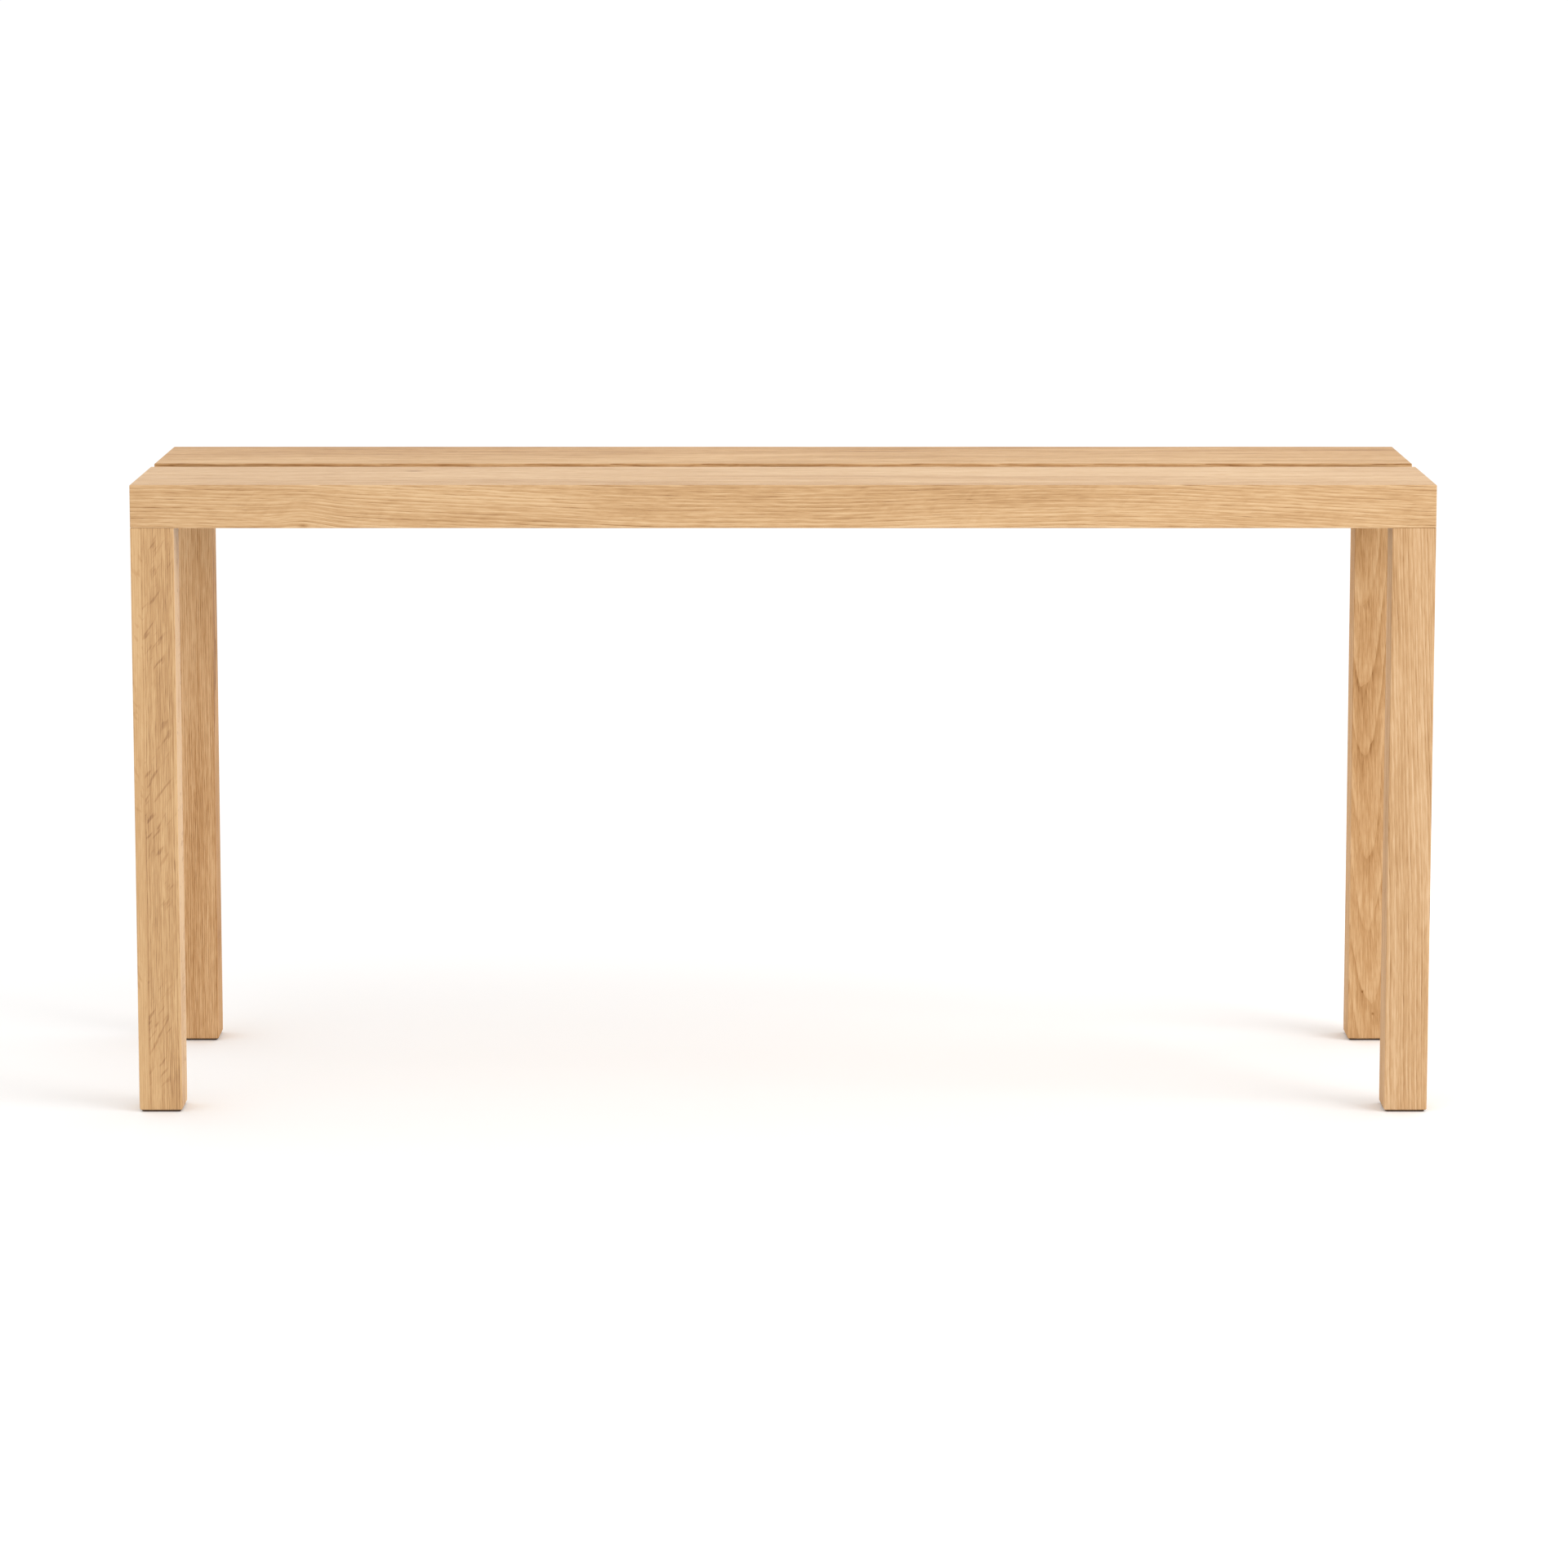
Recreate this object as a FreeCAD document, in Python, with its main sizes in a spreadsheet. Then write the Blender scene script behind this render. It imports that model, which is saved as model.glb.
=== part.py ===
import FreeCAD, Part
import os
import Sketcher

# Communion table: two thick oak planks laid side by side with an open gap, on four square legs flush
# with the corners. A steel plate across each end is let into the underside of both planks. It is
# bolted down onto two legs and screwed up into the planks, and a steel flat ties the planks at
# mid-length. Every fastener is out of sight from above.
#
# Frame: millimetres, +X along the length, front towards -Y, +Z up, origin on the floor at the centre.

SIZES = [
    ("table_length", 1500, "outside length of the top"),
    ("table_depth", 435, "outside depth of the top, over both planks and the gap"),
    ("table_height", 735, "floor to top face"),
    ("plank_thick", 50, "thickness of each plank"),
    ("plank_gap", 35, "open gap between the planks"),
    ("leg_side", 50, "side of the square leg"),
    ("arris", 1.2, "rounding of the long edges of the timber"),
    ("foot_bevel", 2.5, "bevel round the bottom of each leg"),
    ("pad_thick", 2, "thickness of the foot pad"),
    ("pad_inset", 2.5, "foot pad edge behind the leg's faces"),
    ("pad_corner", 3, "corner radius of the foot pad"),
    ("plate_thick", 6, "thickness of the end plates and the cross bar"),
    ("plate_margin", 8, "table's outer faces to the edge of the end plate"),
    ("plate_reach", 78, "how far the end plate runs past the leg, along the table"),
    ("plate_corner", 8, "corner radius of the steel pieces"),
    ("bar_width", 60, "width of the cross bar"),
    ("bar_margin", 30, "planks' outer edges to the end of the cross bar"),
    ("recess_play", 0.5, "play round a steel piece in its recess"),
    ("bolt_size", 8, "diameter of the leg bolt"),
    ("bolt_length", 30, "length of the leg bolt over its head"),
    ("bolt_head", 16, "diameter of the leg bolt's countersunk head"),
    ("bolt_play", 0.4, "play on diameter of the bolt in the plate"),
    ("head_sink", 0.2, "depth of the bolt head below the plate's top face"),
    ("head_wall", 1.3, "steel left between the countersink and the plate's edge"),
    ("bolt_key", 5, "socket of the leg bolt, across flats"),
    ("bolt_key_depth", 2.5, "depth of the leg bolt's socket"),
    ("leg_insert", 12, "outside diameter of the leg insert"),
    ("leg_insert_length", 24, "length of the leg insert"),
    ("leg_wall", 6, "wood left between the leg insert and the leg's inner faces"),
    ("screw_size", 6, "diameter of the plank screw"),
    ("screw_length", 20, "length of the plank screw under its head"),
    ("screw_head", 10.5, "diameter of the plank screw's button head"),
    ("screw_head_tall", 3.3, "height of the button head"),
    ("screw_head_round", 2.4, "rounding of the button head"),
    ("screw_key", 4, "socket of the plank screw, across flats"),
    ("screw_key_depth", 2, "depth of the plank screw's socket"),
    ("screw_play", 0.6, "play on diameter of the plank screw in the steel"),
    ("slot_travel", 5, "extra length of the slots that let the planks swell"),
    ("screw_side", 15, "screw centre to the leg or to the steel's edge, along the table"),
    ("screw_edge", 40, "screw centre to a plank's edge, across the table"),
    ("plank_insert", 10, "outside diameter of the plank insert"),
    ("plank_insert_length", 16, "length of the plank insert"),
    ("insert_sink", 1, "depth of an insert below the wood it is driven into"),
    ("tip_room", 4, "room beyond an insert for the tip of its bolt"),
    ("thread_play", 0.1, "play on diameter of a bolt in its insert"),
    ("ridge", 0.6, "depth of the insert's outer ridges"),
    ("ridge_pitch", 3, "spacing of the insert's outer ridges"),
    ("ridge_groove", 1.4, "width of the groove between two ridges"),
    ("tip_bevel", 0.8, "bevel at the tip of bolts, screws and inserts"),
]

doc = FreeCAD.newDocument("CommunionTable")
sheet = doc.addObject("Spreadsheet::Sheet", "Size")
for row, (alias, value, meaning) in enumerate(SIZES, start=1):
    sheet.set(f"A{row}", alias)
    sheet.set(f"B{row}", str(value))
    sheet.set(f"C{row}", meaning)
    sheet.setAlias(f"B{row}", alias)
doc.recompute()

# Sizes worked out from the driving ones.
PLANK_WIDTH = "(Size.table_depth - Size.plank_gap) / 2"
LEG_LENGTH = "(Size.table_height - Size.plank_thick - Size.pad_thick)"
SEAT = "(Size.table_height - Size.plank_thick)"
PLATE_WIDTH = "(Size.leg_side - Size.plate_margin + Size.plate_reach)"
PLATE_LENGTH = "(Size.table_depth - 2 * Size.plate_margin)"
BAR_LENGTH = "(Size.table_depth - 2 * Size.bar_margin)"
# Leg bolts, on the diagonal of the leg: distance of each from the leg's two outer faces.
BOLT_NEAR = "(Size.plate_margin + Size.head_wall + Size.head_sink + Size.bolt_head / 2)"
BOLT_FAR = "(Size.leg_side - Size.leg_wall - Size.leg_insert / 2)"
BOLT_STEPS = [BOLT_NEAR, BOLT_FAR]
# Plank screws: distance from the end of the table, and from a plank's outer edge.
SCREW_COLUMNS = [
    "(Size.leg_side + Size.screw_side)",
    "(Size.leg_side + Size.plate_reach - Size.screw_side)",
]
OUTER_ROW = "Size.screw_edge"
INNER_ROW = f"({PLANK_WIDTH} - Size.screw_edge)"
BAR_OUTER_ROW = "(Size.bar_margin + Size.screw_side)"

# Quarter turns about +Z that bring a corner's piece from the front left corner to its place.
CORNERS = {
    "front_left": (-1, -1, 0),
    "front_right": (1, -1, 90),
    "rear_right": (1, 1, 180),
    "rear_left": (-1, 1, 270),
}
ORIGIN, X_AXIS, Y_AXIS = -1, -1, -2
START, END, CENTRE = 1, 2, 3
# Lengths closer than this count as equal.
TOUCH = 1e-6


def number(text):
    """The value of a size or of an expression made of sizes."""
    return float(sheet.evalExpression(text))


# Sketch helpers. Every point is driven by expressions, measured from the sketch's origin.

def pin(sketch, tag, geo, point, x, y):
    """Fixes a point at (x, y), both expressions, none of them negative."""
    for kind, axis, text in (("DistanceX", Y_AXIS, x), ("DistanceY", X_AXIS, y)):
        if text == "0":
            sketch.addConstraint(Sketcher.Constraint("PointOnObject", geo, point, axis))
            continue
        name = f"{tag}_{kind[-1].lower()}"
        index = sketch.addConstraint(
            Sketcher.Constraint(kind, ORIGIN, START, geo, point, number(text))
        )
        sketch.renameConstraint(index, name)
        sketch.setExpression(f"Constraints.{name}", text)


def measure(sketch, tag, kind, geo, text):
    """Gives a line its length, or a circle or arc its diameter or radius."""
    index = sketch.addConstraint(Sketcher.Constraint(kind, geo, number(text)))
    sketch.renameConstraint(index, tag)
    sketch.setExpression(f"Constraints.{tag}", text)


def closed_outline(sketch, tag, points):
    """Straight lines through the points, each a pair of expressions, and back to the first."""
    flat = [FreeCAD.Vector(number(x), number(y), 0) for x, y in points]
    lines = [
        sketch.addGeometry(Part.LineSegment(start, end), False)
        for start, end in zip(flat, flat[1:] + flat[:1])
    ]
    for line, following in zip(lines, lines[1:] + lines[:1]):
        sketch.addConstraint(Sketcher.Constraint("Coincident", line, END, following, START))
    for count, (line, (x, y)) in enumerate(zip(lines, points)):
        pin(sketch, f"{tag}{count}", line, START, x, y)
    return lines


def rectangle(sketch, tag, x, y, wide, deep):
    """A rectangle whose lower left corner is at (x, y)."""
    right = f"{x} + {wide}"
    top = f"{y} + {deep}"
    return closed_outline(sketch, tag, [(x, y), (right, y), (right, top), (x, top)])


def circle(sketch, tag, x, y, across):
    """A circle centred on (x, y)."""
    shape = Part.Circle(
        FreeCAD.Vector(number(x), number(y), 0), FreeCAD.Vector(0, 0, 1), number(across) / 2
    )
    geo = sketch.addGeometry(shape, False)
    pin(sketch, tag, geo, CENTRE, x, y)
    measure(sketch, f"{tag}_across", "Diameter", geo, across)


def slot(sketch, tag, x, y, across, travel):
    """A round-ended slot centred on (x, y), long in the sketch's y direction."""
    middle = FreeCAD.Vector(number(x), number(y), 0)
    half = FreeCAD.Vector(0, number(travel) / 2, 0)
    side = FreeCAD.Vector(number(across) / 2, 0, 0)
    tip = FreeCAD.Vector(0, number(across) / 2, 0)
    ends = []
    for sign in (1, -1):
        centre = middle + half * sign
        arc = Part.Arc(centre + side * sign, centre + tip * sign, centre - side * sign)
        ends.append(sketch.addGeometry(arc, False))
    upper, lower = ends
    left = sketch.addGeometry(Part.LineSegment(middle + half - side, middle - half - side), False)
    right = sketch.addGeometry(Part.LineSegment(middle - half + side, middle + half + side), False)
    for first, first_point, second, second_point in (
        (upper, END, left, START),
        (left, END, lower, START),
        (lower, END, right, START),
        (right, END, upper, START),
    ):
        sketch.addConstraint(
            Sketcher.Constraint("Tangent", first, first_point, second, second_point)
        )
    measure(sketch, f"{tag}_radius", "Radius", upper, f"{across} / 2")
    pin(sketch, f"{tag}_upper", upper, CENTRE, x, f"{y} + {travel} / 2")
    pin(sketch, f"{tag}_lower", lower, CENTRE, x, f"{y} - {travel} / 2")


def hexagon(sketch, tag, across_flats):
    """A regular hexagon centred on the origin, with a corner on the sketch's x axis."""
    corner = f"{across_flats} / sqrt(3)"
    guide = sketch.addGeometry(
        Part.Circle(FreeCAD.Vector(), FreeCAD.Vector(0, 0, 1), number(corner)), True
    )
    sketch.addConstraint(Sketcher.Constraint("Coincident", guide, CENTRE, ORIGIN, START))
    measure(sketch, f"{tag}_corner", "Radius", guide, corner)
    spoke = FreeCAD.Vector(number(corner), 0, 0)
    corners = [
        FreeCAD.Rotation(FreeCAD.Vector(0, 0, 1), 60 * step).multVec(spoke) for step in range(6)
    ]
    lines = [
        sketch.addGeometry(Part.LineSegment(start, end), False)
        for start, end in zip(corners, corners[1:] + corners[:1])
    ]
    for line, following in zip(lines, lines[1:] + lines[:1]):
        sketch.addConstraint(Sketcher.Constraint("Coincident", line, END, following, START))
        sketch.addConstraint(Sketcher.Constraint("PointOnObject", line, END, guide))
    for line in lines[1:]:
        sketch.addConstraint(Sketcher.Constraint("Equal", lines[0], line))
    sketch.addConstraint(Sketcher.Constraint("PointOnObject", lines[0], START, X_AXIS))


# Feature helpers.

def new_body(label):
    """An empty body; its features are added bottom face at its own z = 0."""
    body = doc.addObject("PartDesign::Body", label)
    body.Label = label
    return body


def origin_feature(body, role):
    """One of the body's own origin planes or axes."""
    return next(item for item in body.Origin.OriginFeatures if item.Role == role)


def new_sketch(body, name, role="XY_Plane", lift=None):
    """A sketch flat on one of the body's origin planes, lifted along its normal if lift is given."""
    sketch = body.newObject("Sketcher::SketchObject", f"{body.Name}_{name}")
    sketch.AttachmentSupport = (origin_feature(body, role), [""])
    sketch.MapMode = "FlatFace"
    if lift:
        sketch.setExpression("AttachmentOffset.Base.z", lift)
    return sketch


def pad(body, sketch, height):
    """Adds the sketch's outline, upwards."""
    feature = body.newObject("PartDesign::Pad", f"{sketch.Name}_pad")
    feature.Profile = sketch
    feature.setExpression("Length", height)
    doc.recompute()
    return feature


def pocket(body, sketch, depth=None, upwards=True):
    """Cuts the sketch's outline to a depth, or right through, and makes sure that it cut."""
    before = body.Shape.Volume
    feature = body.newObject("PartDesign::Pocket", f"{sketch.Name}_pocket")
    feature.Profile = sketch
    feature.Reversed = upwards
    if depth:
        feature.setExpression("Length", depth)
    else:
        feature.Type = "ThroughAll"
    doc.recompute()
    if not body.Shape.Volume < before:
        raise RuntimeError(f"{feature.Name} cut nothing")
    return feature


def spin(body, sketch):
    """Revolves the sketch's outline about the body's Z axis."""
    feature = body.newObject("PartDesign::Revolution", f"{sketch.Name}_turned")
    feature.Profile = sketch
    feature.ReferenceAxis = (origin_feature(body, "Z_Axis"), [""])
    feature.Angle = 360
    doc.recompute()
    return feature


def dress(body, kind, name, base, edges, size):
    """A fillet or a chamfer on the named edges or faces of the last feature."""
    feature = body.newObject(f"PartDesign::{kind}", f"{body.Name}_{name}")
    feature.Base = (base, edges)
    feature.setExpression("Radius" if kind == "Fillet" else "Size", size)
    doc.recompute()
    return feature


def upright_edges(shape):
    """Names and lengths of the straight edges along Z."""
    found = {}
    for count, edge in enumerate(shape.Edges, start=1):
        if edge.Degenerated or not isinstance(edge.Curve, Part.Line):
            continue
        if 1 - abs(edge.Curve.Direction.z) < TOUCH:
            found[f"Edge{count}"] = edge.Length
    return found


def flat_face_at(shape, height):
    """Name of the largest face that lies flat at this height."""
    flat = {
        f"Face{count}": face.Area
        for count, face in enumerate(shape.Faces, start=1)
        if abs(face.BoundBox.ZMin - height) < TOUCH and abs(face.BoundBox.ZMax - height) < TOUCH
    }
    return max(flat, key=flat.get)


def place(item, x, y, z, turn=0, flipped=False):
    """Puts a piece at (x, y, z), turned about Z, or upside down."""
    axis = FreeCAD.Vector(1, 0, 0) if flipped else FreeCAD.Vector(0, 0, 1)
    angle = 180 if flipped else turn
    item.Placement = FreeCAD.Placement(FreeCAD.Vector(), FreeCAD.Rotation(axis, angle))
    for letter, text in zip("xyz", (x, y, z)):
        item.setExpression(f"Placement.Base.{letter}", text)


def from_end(side, distance):
    """World x of a point this far in from the table's left (-1) or right (1) end."""
    return f"{side} * (Size.table_length / 2 - {distance})"


def from_edge(side, distance):
    """World y of a point this far in from the table's front (-1) or rear (1) edge."""
    return f"{side} * (Size.table_depth / 2 - {distance})"


# Timber.

def top_plank(label, side):
    """A plank with the recesses for the steel and the holes for its inserts in the underside."""
    body = new_body(label)
    outline = new_sketch(body, "outline")
    rectangle(outline, "plank", "0", "0", "Size.table_length", PLANK_WIDTH)
    blank = pad(body, outline, "Size.plank_thick")
    every_edge = [f"Edge{count}" for count in range(1, len(blank.Shape.Edges) + 1)]
    dress(body, "Fillet", "arrises", blank, every_edge, "Size.arris")

    # The recesses run out through the plank's gap side, so each outline overshoots it.
    recess = new_sketch(body, "recess")
    play = "Size.recess_play"
    plate_start = f"(Size.plate_margin - {play})"
    plate_wide = f"({PLATE_WIDTH} + 2 * {play})"
    for tag, start in (
        ("near_plate", plate_start),
        ("far_plate", f"(Size.table_length - {plate_start} - {plate_wide})"),
    ):
        rectangle(recess, tag, start, plate_start, plate_wide, PLANK_WIDTH)
    bar_start = f"(Size.bar_margin - {play})"
    bar_wide = f"(Size.bar_width + 2 * {play})"
    bar_left = f"(Size.table_length / 2 - {bar_wide} / 2)"
    rectangle(recess, "bar", bar_left, bar_start, bar_wide, PLANK_WIDTH)
    cut = pocket(body, recess, "Size.plate_thick")
    recess_wall = number("Size.plate_thick")
    corners = [
        name for name, length in upright_edges(cut.Shape).items() if abs(length - recess_wall) < TOUCH
    ]
    dress(body, "Fillet", "recess_corners", cut, corners, f"Size.plate_corner + {play}")

    holes = new_sketch(body, "insert_holes")
    spots = [
        (column, row_at)
        for near in SCREW_COLUMNS
        for column in (near, f"(Size.table_length - {near})")
        for row_at in (OUTER_ROW, INNER_ROW)
    ]
    spots += [("Size.table_length / 2", row_at) for row_at in (BAR_OUTER_ROW, INNER_ROW)]
    for count, (x, y) in enumerate(spots):
        circle(holes, f"hole{count}", x, y, "Size.plank_insert")
    insert_end = "Size.insert_sink + Size.plank_insert_length"
    screw_tip = "Size.screw_length - Size.plate_thick"
    pocket(body, holes, f"Size.plate_thick + max({insert_end}; {screw_tip}) + Size.tip_room")
    turn = 0 if side < 0 else 180
    place(body, f"{side} * Size.table_length / 2", f"{side} * Size.table_depth / 2", SEAT, turn)
    return body


def leg(label, end, edge, turn):
    """A square leg, bevelled at the foot, with two insert holes on the diagonal of its top."""
    body = new_body(label)
    outline = new_sketch(body, "outline")
    rectangle(outline, "leg", "0", "0", "Size.leg_side", "Size.leg_side")
    blank = pad(body, outline, LEG_LENGTH)
    sole = flat_face_at(blank.Shape, 0)
    bevelled = dress(body, "Chamfer", "foot_bevel", blank, [sole], "Size.foot_bevel")
    dress(body, "Fillet", "arrises", bevelled, list(upright_edges(bevelled.Shape)), "Size.arris")
    holes = new_sketch(body, "insert_holes", lift=LEG_LENGTH)
    for count, step in enumerate(BOLT_STEPS):
        circle(holes, f"hole{count}", step, step, "Size.leg_insert")
    insert_end = "Size.insert_sink + Size.leg_insert_length"
    bolt_tip = "Size.bolt_length + Size.head_sink - Size.plate_thick"
    pocket(body, holes, f"max({insert_end}; {bolt_tip}) + Size.tip_room", upwards=False)
    place(
        body, f"{end} * Size.table_length / 2", f"{edge} * Size.table_depth / 2", "Size.pad_thick",
        turn,
    )
    return body


def foot_pad(label, end, edge, turn):
    """A thin square pad with rounded corners, stuck under a leg."""
    body = new_body(label)
    outline = new_sketch(body, "outline")
    side = "(Size.leg_side - 2 * Size.pad_inset)"
    rectangle(outline, "pad", "Size.pad_inset", "Size.pad_inset", side, side)
    blank = pad(body, outline, "Size.pad_thick")
    dress(body, "Fillet", "corners", blank, list(upright_edges(blank.Shape)), "Size.pad_corner")
    place(body, f"{end} * Size.table_length / 2", f"{edge} * Size.table_depth / 2", "0", turn)
    return body


# Steel.

def steel_flat(label, wide, long):
    """A flat with rounded corners, its lower left corner at its own origin."""
    body = new_body(label)
    outline = new_sketch(body, "outline")
    rectangle(outline, "flat", "0", "0", wide, long)
    blank = pad(body, outline, "Size.plate_thick")
    dress(body, "Fillet", "corners", blank, list(upright_edges(blank.Shape)), "Size.plate_corner")
    return body


def screw_openings(body, columns, outer_rows, inner_rows):
    """Round holes in the outer rows, and slots in the inner rows so that a plank can swell."""
    across = "(Size.screw_size + Size.screw_play)"
    holes = new_sketch(body, "screw_holes")
    slots = new_sketch(body, "screw_slots")
    for count, x in enumerate(columns):
        for row_count, y in enumerate(outer_rows):
            circle(holes, f"hole{count}{row_count}", x, y, across)
        for row_count, y in enumerate(inner_rows):
            slot(slots, f"slot{count}{row_count}", x, y, across, "Size.slot_travel")
    pocket(body, holes)
    pocket(body, slots)


def end_plate(label, side):
    """The plate across one end: countersunk for the leg bolts, drilled for the plank screws."""
    body = steel_flat(label, PLATE_WIDTH, PLATE_LENGTH)
    holes = new_sketch(body, "bolt_holes")
    across = "(Size.bolt_size + Size.bolt_play)"
    for count, step in enumerate(BOLT_STEPS):
        inward = f"({step} - Size.plate_margin)"
        circle(holes, f"front{count}", inward, inward, across)
        circle(holes, f"rear{count}", inward, f"({PLATE_LENGTH} - {inward})", across)
    drilled = pocket(body, holes)
    thick = number("Size.plate_thick")
    rims = [
        f"Edge{count}"
        for count, edge in enumerate(drilled.Shape.Edges, start=1)
        if isinstance(edge.Curve, Part.Circle)
        and edge.isClosed()
        and abs(edge.BoundBox.ZMin - thick) < TOUCH
    ]
    sink = "(Size.bolt_head - Size.bolt_size - Size.bolt_play) / 2 + Size.head_sink"
    dress(body, "Chamfer", "countersinks", drilled, rims, sink)
    margin = "Size.plate_margin"
    columns = [f"({column} - {margin})" for column in SCREW_COLUMNS]
    outer_rows = [
        f"({OUTER_ROW} - {margin})",
        f"(Size.table_depth - {OUTER_ROW} - {margin})",
    ]
    inner_rows = [
        f"({INNER_ROW} - {margin})",
        f"(Size.table_depth - {INNER_ROW} - {margin})",
    ]
    screw_openings(body, columns, outer_rows, inner_rows)
    turn = 0 if side < 0 else 180
    place(body, from_end(side, margin), from_edge(side, margin), SEAT, turn)
    return body


def cross_bar(label):
    """The flat that ties the planks at mid-length."""
    body = steel_flat(label, "Size.bar_width", BAR_LENGTH)
    margin = "Size.bar_margin"
    outer_rows = [
        f"({BAR_OUTER_ROW} - {margin})",
        f"(Size.table_depth - {BAR_OUTER_ROW} - {margin})",
    ]
    inner_rows = [
        f"({INNER_ROW} - {margin})",
        f"(Size.table_depth - {INNER_ROW} - {margin})",
    ]
    screw_openings(body, ["Size.bar_width / 2"], outer_rows, inner_rows)
    place(body, "-Size.bar_width / 2", from_edge(-1, margin), SEAT)
    return body


# Fasteners. Each is modelled once, its outer end at z = 0 and pointing into the wood along +Z, and
# the groups are linked copies of it.

def key_socket(body, across_flats, depth):
    """A hexagonal socket in the end at z = 0."""
    sketch = new_sketch(body, "socket")
    hexagon(sketch, "key", across_flats)
    pocket(body, sketch, depth)


def leg_bolt():
    """A countersunk bolt: a 90 degree head, a plain shank at its thread's diameter, a bevelled tip."""
    body = new_body("leg_bolt")
    outline = new_sketch(body, "outline", role="XZ_Plane")
    head = "Size.bolt_head / 2"
    shank = "Size.bolt_size / 2"
    closed_outline(outline, "bolt", [
        ("0", "0"),
        (head, "0"),
        (shank, f"({head} - {shank})"),
        (shank, "(Size.bolt_length - Size.tip_bevel)"),
        (f"({shank} - Size.tip_bevel)", "Size.bolt_length"),
        ("0", "Size.bolt_length"),
    ])
    spin(body, outline)
    key_socket(body, "Size.bolt_key", "Size.bolt_key_depth")
    return body


def plank_screw():
    """A button-head screw."""
    body = new_body("plank_screw")
    outline = new_sketch(body, "outline", role="XZ_Plane")
    head = "Size.screw_head / 2"
    shank = "Size.screw_size / 2"
    tip = "(Size.screw_head_tall + Size.screw_length)"
    closed_outline(outline, "screw", [
        ("0", "0"),
        (head, "0"),
        (head, "Size.screw_head_tall"),
        (shank, "Size.screw_head_tall"),
        (shank, f"({tip} - Size.tip_bevel)"),
        (f"({shank} - Size.tip_bevel)", tip),
        ("0", tip),
    ])
    turned = spin(body, outline)
    widest = number(head)
    rim = [
        f"Edge{count}"
        for count, edge in enumerate(turned.Shape.Edges, start=1)
        if edge.BoundBox.ZMax < TOUCH and abs(edge.BoundBox.XMax - widest) < TOUCH
        and isinstance(edge.Curve, Part.Circle)
    ]
    dress(body, "Fillet", "head_round", turned, rim, "Size.screw_head_round")
    key_socket(body, "Size.screw_key", "Size.screw_key_depth")
    return body


def threaded_insert(label, outside, inside, length):
    """A barrel with ridges outside, a through bore and a bevelled nose."""
    body = new_body(label)
    outline = new_sketch(body, "outline", role="XZ_Plane")
    wall = f"({outside} / 2)"
    bore = f"(({inside} + Size.thread_play) / 2)"
    closed_outline(outline, "barrel", [
        (bore, "0"),
        (wall, "0"),
        (wall, f"({length} - Size.tip_bevel)"),
        (f"({wall} - Size.tip_bevel)", length),
        (bore, length),
    ])
    spin(body, outline)
    groove_sketch = new_sketch(body, "groove", role="XZ_Plane")
    rectangle(
        groove_sketch, "groove", f"({wall} - Size.ridge)", "(Size.ridge_pitch - Size.ridge_groove)",
        "(2 * Size.ridge)", "Size.ridge_groove",
    )
    before = body.Shape.Volume
    groove = body.newObject("PartDesign::Groove", f"{label}_ring")
    groove.Profile = groove_sketch
    groove.ReferenceAxis = (origin_feature(body, "Z_Axis"), [""])
    groove.Angle = 360
    doc.recompute()
    rings = body.newObject("PartDesign::LinearPattern", f"{label}_rings")
    rings.Originals = [groove]
    rings.Direction = (origin_feature(body, "Z_Axis"), [""])
    count = f"floor(({length} - 2 * Size.ridge_pitch) / Size.ridge_pitch)"
    rings.setExpression("Occurrences", count)
    rings.setExpression("Length", f"({count} - 1) * Size.ridge_pitch")
    body.Tip = rings
    doc.recompute()
    if not body.Shape.Volume < before:
        raise RuntimeError(f"{label} has no ridges")
    return body


def group(label, master, spots, z, flipped=False):
    """Linked copies of one fastener, at world (x, y) spots, kept together as one sub-part."""
    copies = []
    for count, (x, y) in enumerate(spots):
        copy = doc.addObject("App::Link", f"{label}_{count}")
        copy.LinkedObject = master
        place(copy, x, y, z, flipped=flipped)
        copies.append(copy)
    compound = doc.addObject("Part::Compound", label)
    compound.Label = label
    compound.Links = copies
    return compound


pieces = []
for plank_label, plank_side in (("front_top_plank", -1), ("rear_top_plank", 1)):
    pieces.append(top_plank(plank_label, plank_side))
for corner, (end, edge, turn) in CORNERS.items():
    pieces.append(leg(f"{corner}_leg", end, edge, turn))
    pieces.append(foot_pad(f"{corner}_foot_pad", end, edge, turn))
for plate_label, plate_side in (("left_end_plate", -1), ("right_end_plate", 1)):
    pieces.append(end_plate(plate_label, plate_side))
pieces.append(cross_bar("middle_cross_bar"))

bolt = leg_bolt()
screw = plank_screw()
leg_insert = threaded_insert(
    "leg_insert", "Size.leg_insert", "Size.bolt_size", "Size.leg_insert_length"
)
plank_insert = threaded_insert(
    "plank_insert", "Size.plank_insert", "Size.screw_size", "Size.plank_insert_length"
)

for corner, (end, edge, turn) in CORNERS.items():
    spots = [(from_end(end, step), from_edge(edge, step)) for step in BOLT_STEPS]
    head_top = f"{SEAT} + Size.plate_thick - Size.head_sink"
    pieces.append(group(f"{corner}_leg_bolts", bolt, spots, head_top, flipped=True))
    mouth = f"{SEAT} - Size.insert_sink"
    pieces.append(group(f"{corner}_leg_inserts", leg_insert, spots, mouth, flipped=True))

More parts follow.
